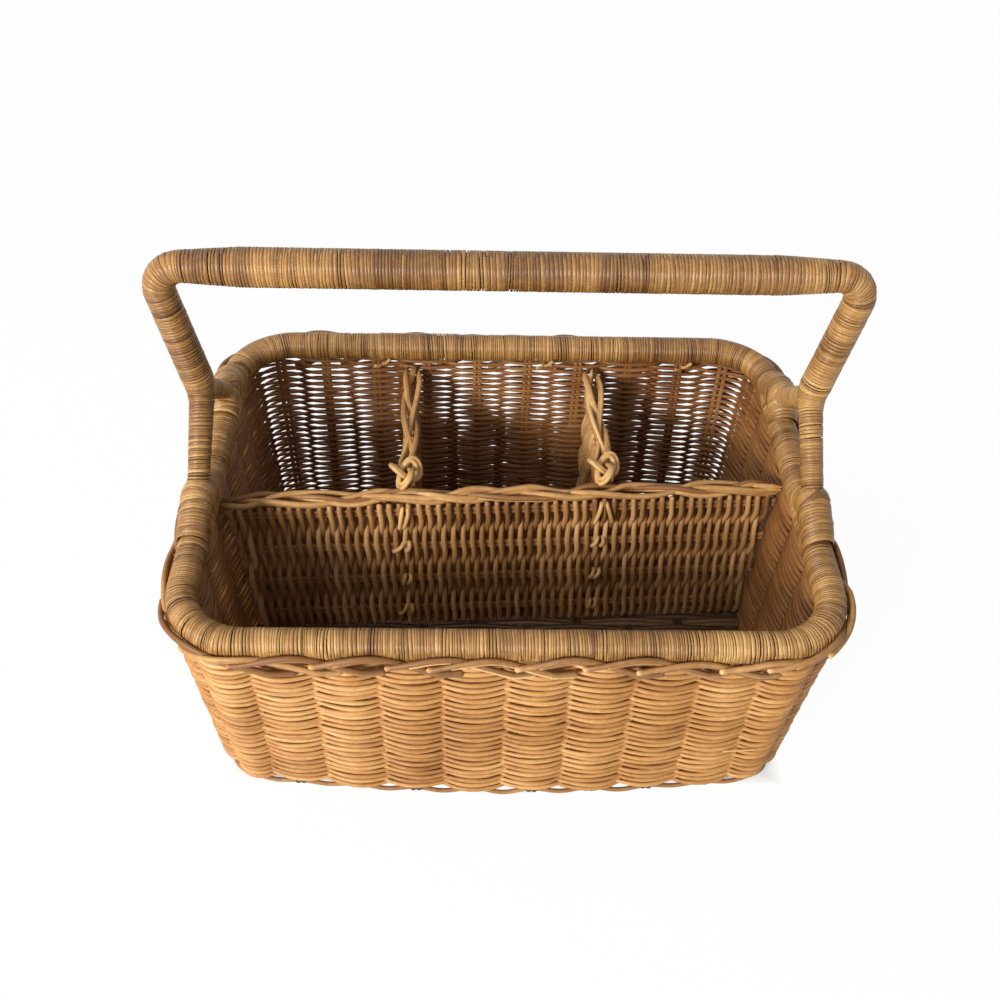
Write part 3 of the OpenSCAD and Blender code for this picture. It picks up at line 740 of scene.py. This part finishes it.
def base_weave():
    """Rows across the sticks, spread a little at the middle to fill the bowed foot."""
    strands = Strands()
    seat = inset(STICK_Z) + BASE_SEAT
    half_x, half_y, corner = RIM_X - seat, RIM_Y - seat, CORNER_R - seat
    rows = 2 * round(half_y / DIVIDER_PITCH)
    sticks = WALLS[FRONT].places[1:-1]
    for row in range(rows):
        share = (2 * row + 1 - rows) / (rows - 1)
        past = max(0.0, corner - half_y * (1 - abs(share)))
        end = half_x - corner + math.sqrt(corner ** 2 - past ** 2)
        x = np.linspace(-end, end, 80)
        y = share * (half_y + foot_bow(x, WALLS[FRONT].run))
        phase = (x - sticks[0]) / (sticks[1] - sticks[0])
        offset = BASE_WAVE * np.cos(math.pi * phase) * (1 if row // 2 % 2 else -1)
        path = np.stack([x, y, STICK_Z + offset], axis=-1)
        strands.tube(path, BASE_R, rng.normal(0.5, 0.2), sides=6)
    strands.build("base_weave", SHADED_BASE, "inner_cane", "base_weavers")


foot_ring()
base_weave()


# Dividers
DIVIDER_R = 1.08 * WEAVER_R
DIVIDER_POWER = 0.85
DIVIDER_DRIFT = 0.25 * MM
DIVIDER_LEAN = 0.5 * MM
MOST_CUT = 0.85
PLAIT_STEP = 1.6 * MM
PLAIT_TAPER = 5 * MM
PLAIT_WOBBLE = 0.35 * MM
KNOT_R = 1.45 * MM
KNOT_SIZE = 4.0 * MM
KNOT_BACK = 9 * MM
KNOT_UP = 10 * MM
END_SIDE = 1.5 * MM
END_DROP = 6 * MM
TOP_END_DROP = 15 * MM
UPRIGHT = (1, 0.3, 0)


def divider_weave(strands, place_map, ends_low, ends_high):
    """Upright strands from one end to the other. Ends are given at the foot and at the top."""
    start, stop = ends_high
    count = int((stop - start) / DIVIDER_PITCH)
    rise = DIVIDER_TOP - DIVIDER_LOW
    for number in range(count):
        place = start + (number + 0.5) * DIVIDER_PITCH
        short = 0.0
        if place < ends_low[0]:
            short = (ends_low[0] - place) / max(ends_low[0] - start, 1e-9)
        if place > ends_low[1]:
            short = (place - ends_low[1]) / max(stop - ends_low[1], 1e-9)
        z = np.linspace(DIVIDER_LOW + rise * min(short, MOST_CUT), DIVIDER_TOP, 44)
        phase = (DIVIDER_TOP - FIRST_LEVEL - z) / LEVEL_PITCH
        wave = np.cos(math.pi * phase)
        wave = np.sign(wave) * np.abs(wave) ** DIVIDER_POWER
        offset = DIVIDER_WAVE * wave * (1 if number % 2 else -1)
        drift = DIVIDER_DRIFT * smooth_noise(z, int(rng.integers(1 << 30)), 0.05)
        drift = drift + DIVIDER_LEAN * np.sin(2 * math.pi * phase)
        path = place_map(place + drift, offset, z)
        radius = DIVIDER_R * rng.uniform(0.95, 1.05)
        strands.tube(path, radius, rng.normal(0.5, 0.17), up=UPRIGHT)


def divider_plait(strands, place_map, start, stop, wide, tall, wave, radius, rods):
    """Three flat strands of rods plaited along the top of a divider."""
    s = np.linspace(start, stop, int((stop - start) / PLAIT_STEP))
    middle_z = DIVIDER_TOP + 1.8 * radius + tall
    for strand in range(3):
        theta = 2 * math.pi * (s / wave + strand / 3) + 0.5 * smooth_noise(s, 71 + strand, 0.11)
        for rod in np.linspace(-1, 1, rods):
            wobble = PLAIT_WOBBLE * smooth_noise(s, int(rng.integers(1 << 30)), 0.06)
            across = wide * np.sin(theta) + rod * radius * 0.85 * np.cos(theta * 0.5 + rod)
            z = middle_z + tall * np.sin(2 * theta) + rod * radius * 0.55 + wobble
            shade = rng.normal(0.5, 0.17)
            thick = radius * rng.uniform(0.9, 1.08)
            strands.tube(place_map(s, across, z), thick, shade, taper=PLAIT_TAPER)


def long_map(place, across, z):
    x = place * math.cos(SKEW) - across * math.sin(SKEW)
    y = place * math.sin(SKEW) + across * math.cos(SKEW)
    return np.stack(np.broadcast_arrays(x, y, z), axis=-1)


def long_divider():
    top = high("long_divider_weavers")[0] / math.cos(SKEW)
    foot = top - LEAN * (DIVIDER_TOP - DIVIDER_LOW)
    weave = Strands()
    divider_weave(weave, long_map, (-foot, foot), (-top, top))
    weave.build("long_divider_weave", SHADED_INNER, "inner_cane", "long_divider_weavers")
    plait = Strands()
    end = top + 3 * MM
    divider_plait(plait, long_map, -end, end, wide=3.8 * MM, tall=1.3 * MM, wave=100 * MM,
                  radius=1.2 * PLAIT_R, rods=2)
    plait.build("long_divider_top", PLAIT, "plait_cane", "long_divider_plait")


def knot(strands, centre):
    """A loose overhand knot of two rods side by side."""
    t = np.linspace(0, 2 * math.pi, 90)
    for rod in (0, 1):
        grow = KNOT_SIZE * (1 - 0.24 * rod)
        path = np.stack([grow * (np.sin(t) + 2 * np.sin(2 * t)) * 0.8,
                         grow * (np.cos(t) - 2 * np.cos(2 * t)),
                         grow * -np.sin(3 * t) * 1.1 + rod * 0.6 * MM], axis=-1)
        strands.tube(path + centre, KNOT_R, rng.normal(0.6, 0.12), up=(0.3, 0.1, 1))


def cane_ends(strands, place):
    """Ends of a cross divider's level rods, bent down where they come through the long divider."""
    face = -DIVIDER_WAVE - WEAVER_R
    for level in range(4):
        z = DIVIDER_TOP - FIRST_LEVEL - (level - 0.2) * LEVEL_PITCH
        drop = TOP_END_DROP if level == 0 else END_DROP
        for rod in (-1, 1):
            side = rod * END_SIDE
            slant = rng.normal(-2 * MM, 1.5 * MM)
            start = long_map(place + side, face + 2 * MM, z)
            bend = long_map(place + 1.6 * side, face - 3 * MM, z - 0.2 * drop)
            stop = long_map(place + 1.6 * side + slant, face - 0.5 * MM, z - drop)
            strands.tube(curve(start, bend, stop, 10), PLAIT_R, rng.normal(0.6, 0.1), up=UPRIGHT)


def cross_dividers():
    knots = Strands()
    for name in ("left", "right"):
        node = f"{name}_divider_weavers"
        x = middle(node)[0]
        front, rear = low(node)[1], high(node)[1]
        lean = (FOOT_INSET - foot_bow(x, WALLS[REAR].run)) / WALL_HEIGHT
        foot = rear - lean * (DIVIDER_TOP - DIVIDER_LOW)

        def cross_map(place, across, z):
            return np.stack(np.broadcast_arrays(x - across, place, z), axis=-1)

        weave = Strands()
        divider_weave(weave, cross_map, (front, foot), (front, rear))
        weave.build(f"{name}_divider_weave", SHADED_INNER, "inner_cane", node)
        plait = Strands()
        divider_plait(plait, cross_map, front + 2 * MM, rear + 2 * MM, wide=4.0 * MM, tall=2.0 * MM,
                      wave=130 * MM, radius=PLAIT_R, rods=3)
        plait.build(f"{name}_divider_top", PLAIT, "plait_cane", f"{name}_divider_plait")
        knot(knots, np.array([x, front + KNOT_BACK, DIVIDER_TOP + KNOT_UP]))
        cane_ends(knots, x / math.cos(SKEW))
    knots.build("divider_ties", PLAIT, "plait_cane", "divider_knots")


long_divider()
cross_dividers()


# Rim and handle bindings. A stretch of the rear rim has a second layer
RIM_PITCH = 1.5 * MM
RIM_STEPS = 900
SECOND_LAYER = np.array([30 * MM, 81 * MM])
BINDING_PITCH = 1.75 * MM
HANDLE_TONES = (0.16, 0.18, 0.08, 0.30, 0.10, 0.0, 0.0)
FORK_EASE = 9 * MM
FORK_SWELL = 0.5 * MM
LASH_STRIP = 2.0 * MM
LASH_EASE = 6 * MM
LASH_SWELL = 0.5 * MM
LASH_STEPS = 60
TOE_TOP = 15.0 * MM

# Pitch, height over the toe and tilt of a lashing's close turns, and of its wide ones
LASH_LAYERS = ((1.8 * MM, 0.6 * MM, 0.6 * MM), (12 * MM, 1.0 * MM, 0.0))


def rim_binding():
    at = np.linspace(0, RING, RIM_STEPS)
    path = ring_point(at, 0 * at, RIM_Z + 0 * at)
    ahead = unit(np.gradient(path, axis=0))
    ahead[0] = ahead[-1] = unit(path[1] - path[-2])
    outward = unit(np.cross(ahead, np.array([0, 0, 1.0])))
    layer_start, layer_stop = ring_place(WALLS[REAR], SECOND_LAYER)

    def radius(at, angle):
        return RIM_R + CANE_T * ((at > layer_start) & (at < layer_stop))

    strands = Strands()
    wind(strands, path, outward, radius, RIM_PITCH, 5, steps=14, closed=True, gap_every=6)
    strands.build("rim_wrap", BINDING, "binding_cane", "rim_binding")


def bend_points(centre, radius, start, stop, count):
    turn = np.linspace(start, stop, count)
    return np.stack([centre[0] + radius * np.sin(turn), np.full(count, centre[1]),
                     centre[2] + radius * np.cos(turn)], axis=-1)


def leg_path(side, way):
    """Centre line of a leg from the fork down to the foot, and round on to the toe."""
    foot = np.array([0, FOOT_Y, TOE_Z])
    run = foot - np.array([0, 0, FORK_Z])
    drop = math.atan2(-run[2], run[1])
    radius = 2 * LEG_R
    tangent = radius * math.tan(drop / 2)
    turn = drop * np.linspace(1, 0, 12)
    bend = np.stack([0 * turn, FOOT_Y + tangent - radius * np.sin(turn),
                     TOE_Z + radius * (1 - np.cos(turn))], axis=-1)
    top = np.array([0, 0, FORK_Z])
    shank = top + (bend[0] - top) * np.linspace(0, 1, 30)[:-1, None]
    return np.concatenate([shank, bend]) * [1, way, 1] + [side * RIM_X, HANDLE_Y, 0]


def half_handle():
    """Right half of the pole's wrapping: front leg, fork, arm, bend and half of the bar, with radii."""
    turn = math.pi / 2 + SPLAY
    tangent = BEND_R * math.tan(turn / 2)
    fork = np.array([RIM_X, HANDLE_Y, FORK_Z])
    leg = leg_path(1, -1)[::-1]
    leg = leg[np.linalg.norm(leg - fork, axis=1) > FORK_EASE]
    bend = bend_points((REACH - tangent, HANDLE_Y, HANDLE_Z - BEND_R), BEND_R, turn, 0, 26)
    arm_start = fork + unit(bend[0] - fork) * FORK_EASE
    joint = curve(fork + unit(leg[-1] - fork) * FORK_EASE, fork, arm_start, 14)
    arm = arm_start + (bend[0] - arm_start) * np.linspace(0, 1, 36)[1:-1, None]
    neck = bend[-1] - [BAR_TAPER, 0, 0]
    bar = bend[-1] + (neck - bend[-1]) * np.linspace(0, 1, 12)[1:, None]
    path = np.concatenate([leg, joint, arm, bend, bar])
    run = arc_length(path)
    # Marks on the leg below the fork, at both ends of the joint, near the bend's end and on the bar
    marks = run[[len(leg) - 18, len(leg) - 1, len(leg) + 12, len(path) - 14, len(path) - 1]]
    radii = np.interp(run, marks, [LEG_OUT, 1.1 * LEG_OUT, ARM_OUT + FORK_SWELL, ARM_OUT, BAR_OUT])
    return path, radii


def handle_binding():
    right, radii = half_handle()
    left = right[::-1] * [-1, 1, 1]
    bar = right[-1] + (left[0] - right[-1]) * np.linspace(0, 1, 60)[1:-1, None]
    path = np.concatenate([right, bar, left])[::-1]
    radii = np.concatenate([radii, np.full(len(bar), BAR_OUT), radii[::-1]])
    run = arc_length(path)
    ahead = unit(np.gradient(path, axis=0))
    outward = unit(np.cross(ahead, np.array([0.0, 1.0, 0.35])))
    strands = Strands()
    wind(strands, path, outward, lambda at, angle: np.interp(at, run, radii), BINDING_PITCH, 9,
         gap_every=12, tone=HANDLE_TONES)
    strands.build("handle_wrap", BINDING, "binding_cane", "bar_binding", "left_bend_binding",
                  "right_bend_binding", "left_arm_binding", "right_arm_binding", "left_fork_binding",
                  "right_fork_binding", "left_front_leg_binding", "right_front_leg_binding")


def rear_leg_binding(side, name):
    path = leg_path(side, 1)
    outward = np.broadcast_to(np.array([side, 0, 0.0]), path.shape)
    strands = Strands()
    wind(strands, path, outward, lambda at, angle: LEG_OUT + 0 * at, BINDING_PITCH, 20 + 3 * side,
         steps=16)
    strands.build(f"{name}_rear_leg_wrap", BINDING, "binding_cane", f"{name}_rear_leg_binding")


def oval(angle, tall, low_r, high_r):
    """Distance to the outline round two circles, from the point midway between them."""
    way = np.linspace(0, 2 * math.pi, 181)
    half = tall[:, None] / 2 * np.sin(way)
    support = np.maximum(low_r - half, high_r + half)
    facing = np.cos(angle[:, None] - way[None, :])
    return np.min(np.where(facing > 0.05, support / np.maximum(facing, 0.05), 1.0), axis=1)


def lashing(side, way, name):
    """Turns that bind a toe down to the rim, and run out on the rim past the toe's tip."""
    full = TOE_Z - RIM_Z + LEG_OUT
    flat = RIM_R + LASH_SWELL
    toe_r = 0.95 * LEG_OUT
    # Marks on the rim inside the leg, under it, on its bend, at the toe's tip and on the rim past it
    marks = FOOT_Y + np.array([-13 * MM, -5 * MM, 3 * MM, TOE + 1 * MM, TOE + 13 * MM])
    tops = np.array([flat, 0.7 * full, full, TOE_TOP, flat])
    y = np.linspace(marks[-1], marks[0], LASH_STEPS)
    tall = np.interp(y, marks, tops - toe_r)
    path = np.stack([side * RIM_X + 0 * y, HANDLE_Y + way * y, RIM_Z + tall / 2], axis=-1)
    run = arc_length(path)
    outward = np.broadcast_to(np.array([side, 0, 0.0]), path.shape)
    flip = side * way
    strands = Strands()
    for pitch, grow, tilt in LASH_LAYERS:

        def reach(at, angle):
            ends = np.clip(np.minimum(at, run[-1] - at) / LASH_EASE, 0, 1)
            return oval(-flip * angle, np.interp(at, run, tall), RIM_R, toe_r) + grow * ends

        wind(strands, path, outward, reach, pitch, 50 + 3 * side + way, steps=30, gap_every=math.inf,
             tilt=tilt, strip=LASH_STRIP, spread=0.12)
    strands.build(f"{name}_foot_lashing", BINDING, "binding_cane", f"{name}_lashing")


rim_binding()
handle_binding()
for one_side, side_name in ((-1, "left"), (1, "right")):
    rear_leg_binding(one_side, side_name)
    for one_way, way_name in ((-1, "front"), (1, "rear")):
        lashing(one_side, one_way, f"{side_name}_{way_name}")


# Finish of the frame's own pieces
def dress(material, *names):
    for name in names:
        for slot in frame["nodes"][name].material_slots:
            slot.material = material


# The cores and base sticks take the very dark pole cane, which is painted shade for the gaps they show
# through
dress(SHADED_POLE, "base_sticks", "rim_core", "handle_pole")
dress(SHADED_POLE, "left_front_leg", "left_rear_leg", "right_front_leg", "right_rear_leg")
dress(STAKE, "long_divider_stakes", "left_divider_stakes", "right_divider_stakes")
dress(STAKE, *(f"{name}_stakes" for name in WALL_NAMES))
dress(brad_material(), "foot_nails")


# Floor, light and camera
FLOOR_HALF = 4.0
DARK_EDGE = (0.95, 1.03)
DARK_SHARES = (0.10, 0.97)
WORLD_STRENGTHS = (0.18, 1.0)
CAMERA_TILTS = (44.3, -2.0, 2.0)
CAMERA_PLACE = (-0.0200, -0.4868, 0.5926)
CAMERA_LENS = 41.4
CAMERA_SENSOR = 36.0


def under_basket(graph):
    """Share of the floor's own white: little under the basket, where no light comes, full around it."""
    place = graph.node("ShaderNodeTexCoord").outputs["Object"]
    parts = graph.node("ShaderNodeSeparateXYZ", Vector=place)
    ratios = []
    for axis, half in enumerate((RIM_X - FOOT_INSET, RIM_Y - FOOT_INSET)):
        far = graph.maths("ABSOLUTE", parts.outputs[axis])
        ratios.append(graph.maths("DIVIDE", far, half))
    return graph.remap(graph.maths("MAXIMUM", *ratios), DARK_EDGE, DARK_SHARES)


def seen_white(graph):
    """1 for rays that come from the camera, from a mirror or through glass, else 0."""
    path = graph.node("ShaderNodeLightPath")
    seen = path.outputs["Is Camera Ray"]
    for ray in ("Is Glossy Ray", "Is Transmission Ray"):
        seen = graph.maths("MAXIMUM", seen, path.outputs[ray])
    return seen


def floor():
    mesh = bpy.data.meshes.new("floor")
    corners = [(x * FLOOR_HALF, y * FLOOR_HALF, 0) for x, y in ((-1, -1), (1, -1), (1, 1), (-1, 1))]
    mesh.from_pydata(corners, [], [(0, 1, 2, 3)])
    material = bpy.data.materials.new("floor_white")
    graph = Graph(material)
    shader = graph.nodes["Principled BSDF"]
    graph.feed(shader.inputs["Base Color"], (0.9, 0.9, 0.9, 1))
    graph.feed(shader.inputs["Roughness"], 0.9)
    glow = graph.node("ShaderNodeEmission", Strength=1.0)
    share = graph.maths("MULTIPLY", seen_white(graph), under_basket(graph))
    mix = graph.node("ShaderNodeMixShader", Fac=share)
    graph.feed(mix.inputs[1], shader.outputs[0])
    graph.feed(mix.inputs[2], glow.outputs[0])
    graph.feed(graph.nodes["Material Output"].inputs["Surface"], mix.outputs[0])
    mesh.materials.append(material)
    plane = bpy.data.objects.new("floor", mesh)
    bpy.context.scene.collection.objects.link(plane)


def lamp(name, place, target, width, power, colour):
    data = bpy.data.lights.new(name, "AREA")
    data.size = width
    data.energy = power
    data.color = colour
    made = bpy.data.objects.new(name, data)
    made.location = place
    made.rotation_mode = "QUATERNION"
    made.rotation_quaternion = (Vector(target) - Vector(place)).to_track_quat("-Z", "Y")
    bpy.context.scene.collection.objects.link(made)


def world():
    made = bpy.data.worlds.new("studio")
    graph = Graph(made)
    background = graph.nodes["Background"]
    graph.feed(background.inputs["Color"], (1, 1, 1, 1))
    graph.feed(background.inputs["Strength"], graph.remap(seen_white(graph), (0, 1), WORLD_STRENGTHS))
    bpy.context.scene.world = made


def camera():
    """A camera that looks down by the first tilt, is turned by the second and rolled by the third."""
    pitch, yaw, roll = (math.radians(tilt) for tilt in CAMERA_TILTS)
    right = Vector((math.cos(yaw), math.sin(yaw), 0))
    ahead = Vector((-math.sin(yaw), math.cos(yaw), 0))
    depth = ahead * math.cos(pitch) - Vector((0, 0, math.sin(pitch)))
    up = ahead * math.sin(pitch) + Vector((0, 0, math.cos(pitch)))
    x_axis = right * math.cos(roll) + up * math.sin(roll)
    y_axis = up * math.cos(roll) - right * math.sin(roll)
    data = bpy.data.cameras.new("camera")
    data.sensor_width = CAMERA_SENSOR
    data.lens = CAMERA_LENS
    made = bpy.data.objects.new("camera", data)
    turn = Matrix((x_axis, y_axis, -depth)).transposed().to_4x4()
    made.matrix_world = Matrix.Translation(CAMERA_PLACE) @ turn
    bpy.context.scene.collection.objects.link(made)
    bpy.context.scene.camera = made


floor()
world()
lamp("key", (-1.35, -1.75, 1.05), (0, 0, 0.08), 0.7, 70, (1.0, 0.97, 0.93))
lamp("fill", (1.5, -1.3, 1.0), (0, 0, 0.1), 1.2, 3, (0.97, 0.98, 1.0))
lamp("top", (-1.0, 0.1, 1.6), (0, 0, 0.1), 1.2, 11, (1.0, 1.0, 1.0))
camera()
bpy.context.scene.view_settings.view_transform = "Standard"
